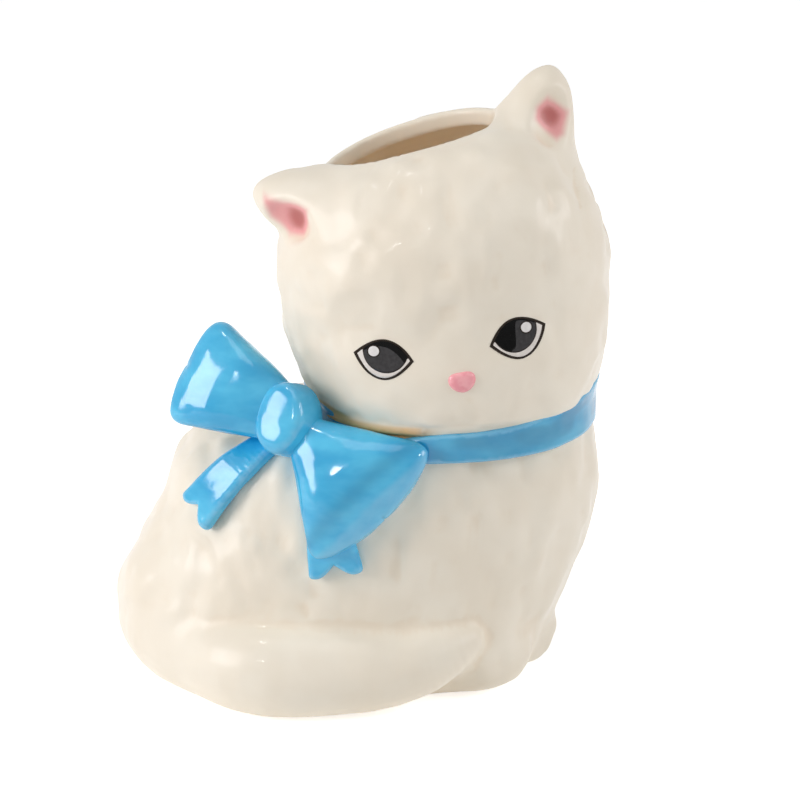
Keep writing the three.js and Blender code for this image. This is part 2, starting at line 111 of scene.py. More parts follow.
# Tail along the torso's foot: turn in degrees, height, sink into the torso's side, radius
TAIL = (
    (188, 17, 12, 12),
    (208, 16, 13.5, 15),
    (232, 15, 10.5, 15.5),
    (254, 15, 1, 15.5),
    (274, 15.5, 1.5, 14.5),
    (287, 16.5, 1.5, 12.5),
    (297, 20, 1, 9.5),
    (302.5, 22.5, 0.5, 6.5),
)
TAIL_FILLET = 3.0
PAW_LEFT = {"turn": 319, "sink": 11, "reach": 17, "spread": 19, "height": 26, "fillet": 6}
PAW_RIGHT = {"turn": 357, "sink": 7.5, "reach": 12.5, "spread": 12, "height": 25, "fillet": 3}
PAW_SUNK = 0.4  # how far a paw reaches below the foot's level, so that it is cut flat there
TAIL_TOP = 48.0  # nothing of the tail and paws is felt above this height
TAIL_SAMPLES = 48

# Roundings of the cast shell's edges, and the hollow's reach past the neck
FOOT_ROUNDING = 2.5
RECESS_ROUNDING = 1.0
MOUTH_ROUNDING = 2.0
HOLLOW_ROUNDING = 1.0
FLOOR_FILLET = 4.0
NECK_FILLET = 5.0
NECK_REACH = 4.0
HEAD_EXTRA_WALL = 0.5

# Ribbon collar, thin and low under the chin. It falls by this many degrees from right to left.
COLLAR_LOW = NECK - 6.0
COLLAR_TILT = 2.0
COLLAR = {"height": 16.5, "thickness": 3.8}
COLLAR_CHIN = {"height": 9.5, "thickness": 1.6}
COLLAR_DIP = {"x": 4, "spread": 11, "depth": 5.5}  # its upper edge is lower behind the bow
COLLAR_SKIN = 0.6  # its thickness where it runs up the cheeks
COLLAR_SUNK = 0.8  # how deep it goes into the neck
COLLAR_FILLET = 2.0
COLLAR_ROUNDING = 1.5

# Bead of slip between the chin and the bow. It is felt only at these heights from the neck.
SEAM = {"turns": (214, 258), "out": 1.2, "above": 2.6, "radii": (2.0, 0.5), "heights": (-4, 16)}
SEAM_FILLET = 2.0
SEAM_SAMPLES = 9

# Bow
KNOT = {"turn": 214.5, "out": 12.7, "above": 5.2, "width": 20.5, "thickness": 24, "height": 24}
# Its flat front is a pillow that faces the main light, on a round back of this share of the knot's sizes
KNOT_FRONT = {"width": 17, "height": 22.5, "thickness": 15, "out": 3, "flatness": 5}
KNOT_FACING = (-0.5, -0.78, 0.36)
KNOT_BACK = 0.42
KNOT_FILLET = 3.0
LOOP_UPPER = {
    "along": (-0.86, 0.33, 0.36),
    "across": (0.2, 0.31, 0.93),
    "length": 35.8,
    "root": 13.5,
    "width": 36.8,
    "thickness": 18.5,
    "flare": 0.8,
    "fullness": 3.0,
    "bulge": 2.5,
    "corner": 6.0,
}
LOOP_LOWER = {
    "along": (0.67, -0.43, -0.61),
    "across": (0.64, 0.18, 0.75),
    "length": 36.5,
    "root": 6.5,
    "width": 53,
    "thickness": 20,
    "flare": 1.05,
    "fullness": 2.3,
    "bulge": 6.0,
    "corner": 8.0,
}
# Share of a loop's full thickness that it has along its length
LOOP_PLACES = (0, 0.3, 0.55, 0.72, 0.93, 1)
LOOP_CROWN = (0.5, 0.86, 1, 0.87, 0.55, 0.42)
# Ribbon ends. A route is where an end lies from the knot: across, and down along the torso.
END_LEFT = {"root": 10, "width": 15.5, "route": ((-5, 9), (-18, 18), (-29.5, 32.5))}
END_RIGHT = {"root": 8, "width": 17.5, "route": ((8, 8), (10.5, 26), (13.5, 45.5))}
END_THICKNESS = 5.0
END_NOTCH = 4.0
NOTCH_LEAN = 0.8  # a distance across the notch times this is the distance to its leaning side
END_ROUNDING = {"sides": 2.5, "tip": 2, "root": 1, "notch": 1.5}
END_SAMPLES = 24

# Face, in the head's frame
EYES = {"spacing": 41.5, "height": -11.3, "width": 18.3, "above": 5.6, "below": 7.2, "tilt": 11, "turn": -3}
EYE_LINE = 0.7
EYE_CORNER = 0.6  # slant of the lids at an eye's corners, by which the line lengthens there
# A transfer is layers of film: their sides start below the glaze, and each layer lies above the one before
FILM = {"columns": 49, "rows": 17, "base": -0.15, "lift": 0.12, "layer": 0.05}
IRIS_SIZE = {"inward": 0.35, "z": 2.6, "half": 6.7, "low": 7.2}
GLINT_SIZE = {"outward": 3.25, "z": 1.5, "radius": 1.6}
IRIS_RING = 0.3
GLINT_RING = 0.35
BRIM = 0.15  # the iris and its shade run this far on to the upper lid's line
# Shade under the upper lid: a sloping band on the left eye, and a patch towards the nose on the right one
LID_BAND = {"depth": 1.7, "slope": 0.16}
LID_PATCH = {"depth": 7.5, "fade": (1.2, -2.0), "rest": 0.3}
NOSE = {"x": 1.7, "height": -22, "width": 8.2, "tall": 6.8, "taper": 0.5, "out": 1.3, "sunk": 1.5}
NOSE_ROUNDING = {"outline": 4, "front": 2, "back": 1}

# Cast fur: its height, the lengths of its broad and fine waves along three axes, and the fine waves' share
FUR_TORSO = {"height": 1.0, "broad": (9, 10, 12), "fine": (5, 5.5, 7), "share": 0.5}
FUR_HEAD = {"height": 0.95, "broad": (10, 12, 12), "fine": (5.5, 7, 6.5), "share": 0.6}
FUR_WARP = {"share": 0.5, "waves": (24, 24, 24), "start": (3, 0, 0)}
FUR_CHANGE = (-4, 4)  # heights from the neck between which the torso's fur turns into the head's

# Where the fur is calm: the share that is taken off, and the distances over which that fades in
CALM_FACE = {"share": 0.8, "depth": (-20, -32), "middle": (1, -16), "reach": (24, 9)}
CALM_TAIL = {"share": 0.75, "fade": (4, 0)}
CALM_EARS = (3, -2)
CALM_MOUTH = (6, 2)
CALM_FOOT = (6, 1)
CALM_NECK = (7, 4)

# Modelling of the face: each form's height, its place and its reach across and up
FACE_DEPTH = (-15, -30)
SOCKETS = {"height": -1.8, "above": 4, "reach": (11, 7)}
MUZZLE = {"height": 1.1, "below": 6, "reach": (11, 7)}
CHEEKS = {"height": 0.6, "aside": 26, "level": -28, "reach": (10, 9)}
CREASE = {"height": -0.3, "aside": 1.5, "below": 7, "reach": (1.5, 3)}

# Brush marks in the blue glaze: height and length of each set of waves
BRUSH = ((0.16, 7), (0.05, 3))

# Pink of the ears: shares of patch and core, and how their edges and the hollow's depth fade
BLUSH = {"patch": 0.55, "core": 0.45, "patch_fade": (1.8, -3.0), "core_fade": (1.2, 0.1), "depth": (-7, -4)}

# Ochre by the bow, in the gap between chin and bow: how it fades with the distance from bow and bead, height
# from the neck, x and y
OCHRE = {"bow": (3.2, 1.2), "bead": (1.5, 0.4), "low": (-8, -2), "high": (9, 6)}
OCHRE_SPOT = {"x": (26, 14), "y": (0, -20)}
# Painted warmth on the cheek beside the bow: an ochre tint that offsets the blue light the bow bounces on to
# it
CHEEK_PAINTED_WARMTH = {"share": 0.28, "bow": (18, 3), "low": (-2, 4)}

# Deeper blue: a line by the lower loop's end with a paler band past it, the band a painted reflection of the
# floor, and the collar, deeper all over as a painted shade under the chin and deepest in random patches
END_LINE_AND_PAINTED_REFLECTION = {"line": 0.24, "place": 0.87, "spread": 0.1, "band": 0.25, "fade": (0.97, 1.05)}
# On the collar the first share deepens the whole collar as a painted shade under the chin; the second
# deepens random patches of glaze
COLLAR_PAINTED_SHADE_AND_PATCHES = {"painted_shade": 0.2, "patches": 0.14, "fade": (-0.1, 0.5), "waves": (11, 11, 6)}

# Glaze deepens in hollows: how strongly in the cream, and by how many rounds of smoothing in the blue
CREAM_POOL = 4
BLUE_ROUNDS = 4

# The inside's colour, a painted lightening near white for the little light that gets in through the mouth,
# and its
# matt glaze: the distance from the hollow over which it fades, and the least share of it at which a face is
# matt
INSIDE = {"fade": (0.9, 0.1), "least": 0.99}

# Colours, 0 to 255 on screen
COLOURS = {
    "cream": (247, 240, 224),
    "cream_cloud": (243, 234, 216),
    "cream_pool": (232, 214, 188),
    # inside is painted near white, paler than the cream outside: a painted lightening of the hollow, which
    # gets little light through the mouth
    "inside": (254, 249, 239),
    "blush": (236, 164, 164),
    "blush_core": (188, 106, 102),
    # ochre is also the painted warmth on the cheek beside the bow, against the blue light bounced from it
    "ochre": (226, 184, 128),
    "blue": (28, 169, 221),
    "blue_brushed": (80, 200, 241),
    "blue_pool": (0, 122, 166),
    "blue_edge": (140, 208, 242),
    "nose": (250, 176, 182),
    "nose_deep": (243, 156, 166),
    "floor": (245, 245, 245),
}

# Lines scratched into the head's right side: their two ends, across and up
SCRATCHES = (((64.7, 167.8), (66.3, 158.4)), ((68.5, 162.8), (72.7, 156)), ((75, 147), (75.4, 142)))
SCRATCH = {"depth": 0.5, "width": 0.8}

# Light that falls from all round, the floor's own light to the camera, and the side lights' colour
SIDE_TINT = (1.0, 0.95, 0.955)
SKY = 0.25
FLOOR_GLOW = 0.65
FLOOR_REACH = 6.0  # metres

# Lamps: direction from the vase, distance and size in metres, power in watts, and colour if not white
AIM = (0.0, 0.0, 0.1)
LAMPS = {
    "key": ((-0.92, -0.36, 0.32), 1.05, (0.44, 0.58), 5.6, SIDE_TINT),
    "fill": ((0.92, -0.2, 0.4), 1.1, (0.5, 0.5), 3.6, SIDE_TINT),
    "top": ((0, -0.3, 0.95), 1.2, (0.6, 0.6), 1.7),
    "spark_right": ((0.7, -0.52, 0.5), 1.2, (0.02, 0.05), 0.6),
    "spark_left": ((-0.41, -0.785, 0.46), 1.2, (0.12, 0.05), 0.6),
    "glint": ((-0.34, -0.05, 0.94), 1.2, (0.16, 0.06), 1.1),
}

# Camera: target, distance in metres, degrees above the level, and pixels for a radian in the picture
CAMERA_TARGET = np.array([11.5, 0.0, 88.5])
CAMERA_DISTANCE = 1.0
CAMERA_RISE = 18
CAMERA_SENSOR = 36
PIXELS_PER_RADIAN = 3137
PICTURE_WIDTH = 800

# Light is followed for so many bounces, because the vase is lit inside only through its mouth
BOUNCES = 64

# Sampling steps of the fields
STEP_BODY = 1.0
STEP_COLLAR = 0.8
STEP_RIBBON = 0.6
STEP_SMALL = 0.35


# Curves and blends
def through(places, values):
    """A smooth curve through points: cubic pieces with the slopes of their neighbours."""
    places = np.asarray(places, float)
    values = np.asarray(values, float)
    before = np.r_[0, np.arange(len(places) - 1)]
    after = np.r_[np.arange(1, len(places)), len(places) - 1]
    slopes = (values[after] - values[before]) / (places[after] - places[before])

    def curve(place):
        place = np.clip(place, places[0], places[-1])
        i = np.clip(np.searchsorted(places, place, side="right") - 1, 0, len(places) - 2)
        span = places[i + 1] - places[i]
        t = (place - places[i]) / span
        rise = values[i + 1] - values[i]
        start = span * slopes[i]
        end = span * slopes[i + 1]
        return values[i] + t * (start + t * (3 * rise - 2 * start - end + t * (start + end - 2 * rise)))

    return curve


def union(a, b, soft):
    """The union of two fields with a fillet about as wide as soft."""
    near = np.maximum(soft - np.abs(a - b), 0) / soft
    return np.minimum(a, b) - near * near * soft / 4


def overlap(a, b, soft):
    """What two fields share, with its edge rounded."""
    return -union(-a, -b, soft)


def smoothstep(low, high, value):
    t = np.clip((value - low) / (high - low), 0, 1)
    return t * t * (3 - 2 * t)


def fade(span, value):
    return smoothstep(span[0], span[1], value)


def unit(vector):
    vector = np.asarray(vector, float)
    return vector / np.linalg.norm(vector)


def signed_power(base, exponent):
    return np.sign(base) * np.abs(base) ** exponent


def from_middle(ratio, distance):
    """The field of a form whose surface is where ratio is 1, at this distance from its middle."""
    return distance * (1 - 1 / np.maximum(ratio, 0.02))


def local(p, middle, axes):
    """Coordinates of points along three directions from a middle."""
    d = [p[i] - middle[i] for i in range(3)]
    return [d[0] * a[0] + d[1] * a[1] + d[2] * a[2] for a in axes]


def ellipsoid(p, middle, axes, radii):
    q = local(p, middle, axes)
    ratio = np.sqrt(sum((c / r) ** 2 for c, r in zip(q, radii)))
    return from_middle(ratio, np.sqrt(sum(c * c for c in q)))


AXES = np.eye(3)


# Noise on a fixed lattice, for the relief
LATTICE = np.random.default_rng(11).uniform(-1, 1, (32, 32, 32))


def noise(x, y, z):
    cells = [np.floor(v).astype(int) for v in (x, y, z)]
    parts = [v - c for v, c in zip((x, y, z), cells)]
    turns = [t * t * t * (t * (6 * t - 15) + 10) for t in parts]
    total = 0
    for corner in itertools.product((0, 1), repeat=3):
        weight = 1
        for side, turn in zip(corner, turns):
            weight = weight * (turn if side else 1 - turn)
        i, j, k = ((c + side) % 32 for c, side in zip(cells, corner))
        total = total + weight * LATTICE[i, j, k]
    return total


# Head
ROLL = math.radians(HEAD_ROLL)
HEAD_AXES = np.array([
    [math.cos(ROLL), 0, math.sin(ROLL)],
    [0, 1, 0],
    [-math.sin(ROLL), 0, math.cos(ROLL)],
])


def to_head(p):
    return local(p, HEAD_MIDDLE, HEAD_AXES)


def from_head(q):
    return HEAD_MIDDLE + np.asarray(q, float) @ HEAD_AXES


def skull(p):
    u, v, w = to_head(p)
    across = np.abs(u / (HEAD_WIDTH / 2)) ** HEAD_FULLNESS
    deep = np.abs(v / np.where(v < 0, HEAD_FRONT, HEAD_BACK)) ** HEAD_FULLNESS
    level = across + deep + 1e-9
    in_front = np.where(v < 0, deep / level, 0)
    below = CHEEK_FULLNESS + (CHIN_FULLNESS - CHEEK_FULLNESS) * in_front
    fullness = np.where(w > 0, CROWN_FULLNESS, below)
    top = np.maximum(HEAD_TOP + u * math.tan(math.radians(CROWN_SLANT)), HEAD_TOP / 2)
    tall = np.abs(w / np.where(w > 0, top, HEAD_BOTTOM))
    ratio = (level ** (fullness / HEAD_FULLNESS) + tall ** fullness) ** (1 / fullness)
    return from_middle(ratio, np.sqrt(u * u + v * v + w * w))


def ear_frame(ear):
    """An ear's tip, its directions along, across and out, its length, half width and half thickness."""
    tip = np.array(ear["tip"], float)
    run = tip - np.array(ear["root"], float)
    axis = unit(run)
    across = unit(np.cross(axis, (0, 1, 0)))
    sizes = (np.linalg.norm(run), ear["width"] / 2, ear["thickness"] / 2)
    return tip, np.array([axis, across, np.cross(axis, across)]), sizes


def horn(q, ear):
    """An ear before it is scooped, in the head's frame: an oval paraboloid."""
    tip, axes, (length, wide, thick) = ear_frame(ear)
    along, across, facing = local(q, tip, axes)
    excess = along / length + (across / wide) ** 2 + (facing / thick) ** 2
    slope = np.sqrt(1 / length ** 2 + (2 * across / wide ** 2) ** 2 + (2 * facing / thick ** 2) ** 2)
    return np.maximum(excess / slope, -along - length)


def ear_hollow(q, ear):
    """Coordinates along, across and out of an ear's hollow, from its middle on the ear's front."""
    tip, (axis, across, facing), (length, wide, thick) = ear_frame(ear)
    from_tip, aside, turn = ear["hollow"]
    rise = thick * math.sqrt(from_tip / length - (aside / wide) ** 2)
    middle = tip - from_tip * axis + aside * across + rise * facing
    normal = unit(axis / length + 2 * across * aside / wide ** 2 + 2 * facing * rise / thick ** 2)
    side = unit(np.cross(normal, axis))
    swing = math.radians(turn)
    run = math.cos(swing) * np.cross(side, normal) + math.sin(swing) * side
    return local(q, middle, (run, np.cross(normal, run), normal))


def ear_scoop(q, ear):
    along, across, out = ear_hollow(q, ear)
    radii = (EAR_HOLLOW["length"] / 2, EAR_HOLLOW["width"] / 2, EAR_HOLLOW["depth"])
    return ellipsoid((along, across, out), (0, 0, 0), AXES, radii)


def ear_blush(q, ear):
    """How pink a place in an ear's hollow is: 1 at its core, fading out past its edge."""
    along, across, out = ear_hollow(q, ear)
    middle_along, middle_across, reach = ear["core"]
    core = np.hypot(along - middle_along, across - middle_across) / reach
    edge = patch(along, across, ear["pink"])
    pink = BLUSH["patch"] * fade(BLUSH["patch_fade"], edge)
    pink = pink + BLUSH["core"] * fade(BLUSH["core_fade"], core)
    return pink * fade(BLUSH["depth"], out)


def patch(a, b, corners):
    """How far a place is outside a patch with straight sides, negative inside it."""
    corners = np.array(corners, float)
    middle = corners.mean(axis=0)
    field = -np.inf
    for start, end in zip(corners, np.roll(corners, -1, axis=0)):
        run = unit(end - start)
        out = np.array([run[1], -run[0]])
        out = out * np.sign(out @ (start - middle))
        field = np.maximum(field, (a - start[0]) * out[0] + (b - start[1]) * out[1])
    return field


def slot(p):
    u, v, w = to_head(p)
    turn = math.radians(MOUTH["turn"])
    right = np.array([math.cos(turn), math.sin(turn), 0])
    a, b, up = local((u, v, w), (MOUTH["x"], MOUTH["y"], 0), (right, np.cross(AXES[2], right), AXES[2]))
    across = np.abs(2 * a / MOUTH["length"]) ** MOUTH["fullness"]
    deep = np.abs(2 * b / MOUTH["width"]) ** MOUTH["fullness"]
    side = from_middle((across + deep) ** (1 / MOUTH["fullness"]), np.hypot(a, b))
    return np.maximum(side, -up)


def head_outside(p):
    q = to_head(p)
    field = skull(p)
    for ear in EARS:
        field = union(field, horn(q, ear), EAR_FILLET)
    for ear in EARS:
        field = overlap(field, -ear_scoop(q, ear), EAR_ROUNDING)
    return field


# Torso
def neck_reaches():
    """The head's reach at the neck's height: lowest and highest x, then y."""
    x, y = np.meshgrid(np.arange(-40, 90, 0.1), np.arange(-60, 60, 0.1), indexing="ij")
    inside = skull((x, y, np.full_like(x, NECK))) < 0
    return x[inside].min(), x[inside].max(), y[inside].min(), y[inside].max()


neck_left, neck_right, neck_front, neck_back = neck_reaches()
HEIGHTS = (*TORSO["height"], NECK)
torso_middle = through(HEIGHTS, (*TORSO["middle"], (neck_left + neck_right) / 2))
torso_length = through(HEIGHTS, (*TORSO["length"], neck_right - neck_left + 2 * NECK_LIP))
torso_front = through(HEIGHTS, (*TORSO["front"], NECK_LIP - neck_front))
torso_back = through(HEIGHTS, (*TORSO["back"], NECK_LIP + neck_back))


def shares(x, y, height):
    """A place across and deep, as shares of the torso's reach at a height."""
    across = (x - torso_middle(height)) / (torso_length(height) / 2)
    return across, y / np.where(y < 0, torso_front(height), torso_back(height))


def section(x, y, height):
    """The field of the torso's outline at a height."""
    across, deep = shares(x, y, height)
    ratio = (np.abs(across) ** TORSO_FULLNESS + np.abs(deep) ** TORSO_FULLNESS) ** (1 / TORSO_FULLNESS)
    return from_middle(ratio, np.hypot(x - torso_middle(height), y))


def torso(p):
    return section(p[0], p[1], np.clip(p[2], 0, NECK))


def torso_point(turn, height):
    across = signed_power(math.cos(turn), 2 / TORSO_FULLNESS)
    deep = signed_power(math.sin(turn), 2 / TORSO_FULLNESS)
    reach = torso_front(height) if deep < 0 else torso_back(height)
    return np.array([torso_middle(height) + torso_length(height) / 2 * across, reach * deep, height])


def torso_normal(turn, height, step=1e-3):
    around = torso_point(turn + step, height) - torso_point(turn - step, height)
    up = torso_point(turn, height + step) - torso_point(turn, height - step)
    return unit(np.cross(around, up))


def level_normal(turn, height):
    return unit(torso_normal(turn, height) * (1, 1, 0))


def route(points, count):
    """A smooth path through points, with as many samples as asked."""
    points = np.asarray(points, float)
    spans = np.linalg.norm(np.diff(points[:, :3], axis=0), axis=1)
    places = np.r_[0, np.cumsum(spans)]
    samples = np.linspace(0, places[-1], count)
    return np.column_stack([through(places, column)(samples) for column in points.T])


def tail_route():
    points = []
    for degrees, height, sink, radius in TAIL:
        turn = math.radians(degrees)
        place = torso_point(turn, height) - sink * torso_normal(turn, height)
        points.append((place[0], place[1], height, radius))
    return route(points, TAIL_SAMPLES)


TAIL_ROUTE = tail_route()


def rod(p, path):
    """A round rod along a path of (x, y, z, radius)."""
    field = np.inf
    for a, b in zip(path[:-1], path[1:]):
        step = b[:3] - a[:3]
        d = [p[i] - a[i] for i in range(3)]
        t = np.clip((d[0] * step[0] + d[1] * step[1] + d[2] * step[2]) / (step @ step), 0, 1)
        gap = np.sqrt(sum((d[i] - t * step[i]) ** 2 for i in range(3)))
        field = np.minimum(field, gap - a[3] - t * (b[3] - a[3]))
    return field


def paw(p, shape):
    turn = math.radians(shape["turn"])
    level = shape["height"] / 2 - PAW_SUNK
    outward = level_normal(turn, level)
    middle = torso_point(turn, level) - shape["sink"] * outward
    axes = np.array([outward, np.cross((0, 0, 1), outward), (0, 0, 1)])
    return ellipsoid(p, middle, axes, (shape["reach"], shape["spread"], shape["height"] / 2))


def torso_outside(p):
    field = torso(p)
    if np.min(p[2]) < TAIL_TOP:
        field = union(field, rod(p, TAIL_ROUTE), TAIL_FILLET)
        for shape in (PAW_LEFT, PAW_RIGHT):
            field = union(field, paw(p, shape), shape["fillet"])
    field = overlap(field, -p[2], FOOT_ROUNDING)
    recess = overlap(section(p[0], p[1], 0.0) + FOOT_RIM, p[2] - FOOT_RECESS, RECESS_ROUNDING)
    return overlap(field, -recess, RECESS_ROUNDING)


# The hollow cream body, split at the neck under the collar
def hollow(p):
    body = overlap(torso(p) + WALL, FLOOR - p[2], FLOOR_FILLET)
    body = np.maximum(body, p[2] - NECK - NECK_REACH)
    return union(body, skull(p) + WALL + HEAD_EXTRA_WALL, NECK_FILLET)


def seam_route():
    turns = np.linspace(*SEAM["turns"], SEAM_SAMPLES)
    radii = np.linspace(*SEAM["radii"], SEAM_SAMPLES)
    points = []
    for degrees, radius in zip(turns, radii):
        place = torso_point(math.radians(degrees), NECK)
        out = level_normal(math.radians(degrees), NECK)
        points.append((*(place + SEAM["out"] * out)[:2], NECK + SEAM["above"], radius))
    return np.array(points)


def body_shell(p):
    head = head_outside(p)
    lowest, highest = SEAM["heights"]
    if np.max(p[2]) > NECK + lowest and np.min(p[2]) < NECK + highest:
        head = union(head, rod(p, seam_route()), SEAM_FILLET)
    outside = np.minimum(np.maximum(torso_outside(p), p[2] - NECK), head)
    field = overlap(outside, -slot(p), MOUTH_ROUNDING)
    return overlap(field, -hollow(p), HOLLOW_ROUNDING)


def torso_piece(p):
    return np.maximum(body_shell(p), p[2] - NECK - SEAM_LAP)


def head_piece(p):
    return np.maximum(body_shell(p), NECK - SEAM_LAP - p[2])


# Ribbon collar
def chin_share(x, y):
    """How far round to the front a place on the neck is, from 0 at the sides to 1 under the chin."""
    across, deep = shares(x, y, NECK)
    return np.where(y < 0, deep ** 2 / (across ** 2 + deep ** 2 + 1e-9), 0)


def collar_size(kind, share):
    return COLLAR[kind] + (COLLAR_CHIN[kind] - COLLAR[kind]) * share


def collar(p):
    share = chin_share(p[0], p[1])
    height = collar_size("height", share)
    dip = np.exp(-((p[0] - COLLAR_DIP["x"]) / COLLAR_DIP["spread"]) ** 2)
    height = height - COLLAR_DIP["depth"] * share * dip
    thickness = collar_size("thickness", share)
    side = section(p[0], p[1], NECK)
    middle = COLLAR_LOW + height / 2 + collar_rise(p[0])
    outside = union(side - thickness, skull(p) - COLLAR_SKIN, COLLAR_FILLET)
    band = overlap(outside, np.abs(p[2] - middle) - height / 2, COLLAR_ROUNDING)
    return np.maximum(band, -side - COLLAR_SUNK)


def collar_rise(x):
    return (x - neck_right) * math.tan(math.radians(COLLAR_TILT))


# Bow
knot_turn = math.radians(KNOT["turn"])
knot_share = math.sin(knot_turn) ** 2
knot_out = KNOT["out"] + collar_size("thickness", knot_share)
KNOT_MIDDLE = torso_point(knot_turn, NECK) + level_normal(knot_turn, NECK) * knot_out
KNOT_MIDDLE[2] = COLLAR_LOW + KNOT["above"] + collar_rise(KNOT_MIDDLE[0])
KNOT_MIDDLE[2] += collar_size("height", knot_share) / 2
KNOT_OUT = unit(KNOT_FACING)
KNOT_SIDE = unit(np.cross(KNOT_OUT, AXES[2]))
KNOT_AXES = np.array([KNOT_SIDE, np.cross(KNOT_SIDE, KNOT_OUT), KNOT_OUT])


def knot(p):
    sizes = np.array([KNOT["width"], KNOT["thickness"], KNOT["height"]])
    back = ellipsoid(p, KNOT_MIDDLE, AXES, KNOT_BACK * sizes)
    a, b, c = local(p, KNOT_MIDDLE + KNOT_FRONT["out"] * KNOT_OUT, KNOT_AXES)
    flatness = KNOT_FRONT["flatness"]
    level = np.hypot(2 * a / KNOT_FRONT["width"], 2 * b / KNOT_FRONT["height"])
    deep = np.abs(2 * c / KNOT_FRONT["thickness"])
    ratio = (level ** flatness + deep ** flatness) ** (1 / flatness)
    return union(back, from_middle(ratio, np.sqrt(a * a + b * b + c * c)), KNOT_FILLET)


def loop_frame(p, shape):
    """Coordinates along, across and through a loop."""
    along = unit(shape["along"])
    across = np.array(shape["across"], float)
    across = unit(across - along * (across @ along))
    return local(p, KNOT_MIDDLE, np.array([along, across, np.cross(along, across)]))


def loop(p, shape):
    s, c, f = loop_frame(p, shape)
    share = np.clip(s / shape["length"], 0, 1)
    wide = (shape["root"] + (shape["width"] - shape["root"]) * share ** shape["flare"]) / 2
    end = shape["length"] + shape["bulge"] * (1 - np.clip(2 * c / shape["width"], -1, 1) ** 2)
    thick = through(LOOP_PLACES, LOOP_CROWN)(s / end) * shape["thickness"] / 2
    fullness = shape["fullness"]
    ratio = (np.abs(c / wide) ** fullness + np.abs(f / thick) ** fullness) ** (1 / fullness)
    side = from_middle(ratio, np.hypot(c, f))
    return np.maximum(overlap(side, s - end, shape["corner"]), -s)


def front_turn(x, height):
    share = np.clip((x - torso_middle(height)) / (torso_length(height) / 2), -1, 1)
    return -math.acos(signed_power(share, TORSO_FULLNESS / 2))


def strip_route(shape):
    """Samples down a ribbon end: places, then the directions out of the torso."""
    points = []
    for x, fall in shape["route"]:
        height = KNOT_MIDDLE[2] - fall
        turn = front_turn(KNOT_MIDDLE[0] + x, height)
        normal = torso_normal(turn, height)
        points.append(np.r_[torso_point(turn, height) + normal * END_THICKNESS / 2, normal])
    return route(points, END_SAMPLES)


def strip(p, shape):
    path = strip_route(shape)
    lengths = np.r_[0, np.cumsum(np.linalg.norm(np.diff(path[:, :3], axis=0), axis=1))]
    best = np.full(np.broadcast(*p).shape, np.inf)
    s, c, f = (np.zeros_like(best) for _ in range(3))
    for i in range(len(path) - 1):
        step = path[i + 1, :3] - path[i, :3]
        span = np.linalg.norm(step)
        along = step / span
        across = unit(np.cross(path[i, 3:], along))
        d = local(p, path[i, :3], np.array([along, across, np.cross(along, across)]))
        last = i == len(path) - 2
        run = np.clip(d[0], 0 if i else -np.inf, np.inf if last else span)
        gap = (d[0] - run) ** 2 + d[1] ** 2 + d[2] ** 2
        nearer = gap < best
        best = np.where(nearer, gap, best)
        s = np.where(nearer, lengths[i] + run, s)
        c = np.where(nearer, d[1], c)
        f = np.where(nearer, d[2], f)
    half = (shape["root"] + (shape["width"] - shape["root"]) * np.clip(s / lengths[-1], 0, 1)) / 2
    field = overlap(np.abs(c) - half, np.abs(f) - END_THICKNESS / 2, END_ROUNDING["sides"])
    field = overlap(field, s - lengths[-1], END_ROUNDING["tip"])
    field = overlap(field, -s, END_ROUNDING["root"])
    notch = (np.abs(c) - (s - lengths[-1] + END_NOTCH) * half / 2 / END_NOTCH) * NOTCH_LEAN
    return overlap(field, -notch, END_ROUNDING["notch"])


# Meshes
def sampled(field, low, high, step):
    """Points and quads of a field's surface, moved on to the exact surface."""
    axes = [np.arange(a, b + step, step) for a, b in zip(low, high)]
    values = np.empty([len(a) for a in axes], np.float32)
    slab = 12
    for start in range(0, len(axes[2]), slab):
        part = axes[2][start:start + slab]
        values[:, :, start:start + slab] = field(np.meshgrid(axes[0], axes[1], part, indexing="ij"))
    grid = openvdb.FloatGrid(float(values.max()))
    grid.copyFromArray(values)
    points, quads = grid.convertToQuads(0.0)
    points = points.astype(float) * step + np.asarray(low, float)
    for _ in range(3):
        value, slope = slopes_of(field, points)
        move = value[:, None] * slope / np.maximum((slope ** 2).sum(1), 0.05)[:, None]
        length = np.linalg.norm(move, axis=1, keepdims=True)
        points = points - move * np.minimum(1, 0.5 * step / np.maximum(length, 1e-9))
    return points, quads[:, ::-1]


def slopes_of(field, points, step=0.02):
    value = field(points.T)
    slope = np.stack([(field((points + step * axis).T) - value) / step for axis in AXES], axis=1)
    return value, slope


def normals_of(field, points):
    slope = slopes_of(field, points)[1]
    return slope / np.maximum(np.linalg.norm(slope, axis=1, keepdims=True), 1e-9)


def hollowness(points, quads, rounds=3):
    """The step from each point to the middle of the points around it, in millimetres."""
    edges = np.concatenate([quads[:, [i, (i + 1) % 4]] for i in range(4)])
    count = sum(np.bincount(edges[:, i], minlength=len(points)) for i in range(2))

    def spread_out(value):
        total = np.zeros_like(value)
        np.add.at(total, edges[:, 0], value[edges[:, 1]])
        np.add.at(total, edges[:, 1], value[edges[:, 0]])
        return total / np.maximum(count, 1).reshape(-1, *[1] * (value.ndim - 1))

    smooth = points
    for _ in range(rounds):
        smooth = spread_out(smooth)
    return smooth - points


def new_piece(name, points, faces, material, nodes, marks=None):
    mesh = bpy.data.meshes.new(name)
    mesh.from_pydata(((points + SHIFT) / 1000).tolist(), [], faces.tolist())
    mesh.polygons.foreach_set("use_smooth", np.ones(len(mesh.polygons), bool))
    for mark, values in (marks or {}).items():
        attribute = mesh.attributes.new(mark, "FLOAT", "POINT")
        attribute.data.foreach_set("value", np.asarray(values, np.float32))
    mesh.materials.append(material)
    mesh.update()
    piece = bpy.data.objects.new(name, mesh)
    bpy.context.scene.collection.objects.link(piece)
    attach(piece, "root")
    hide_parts(*nodes)
    return piece


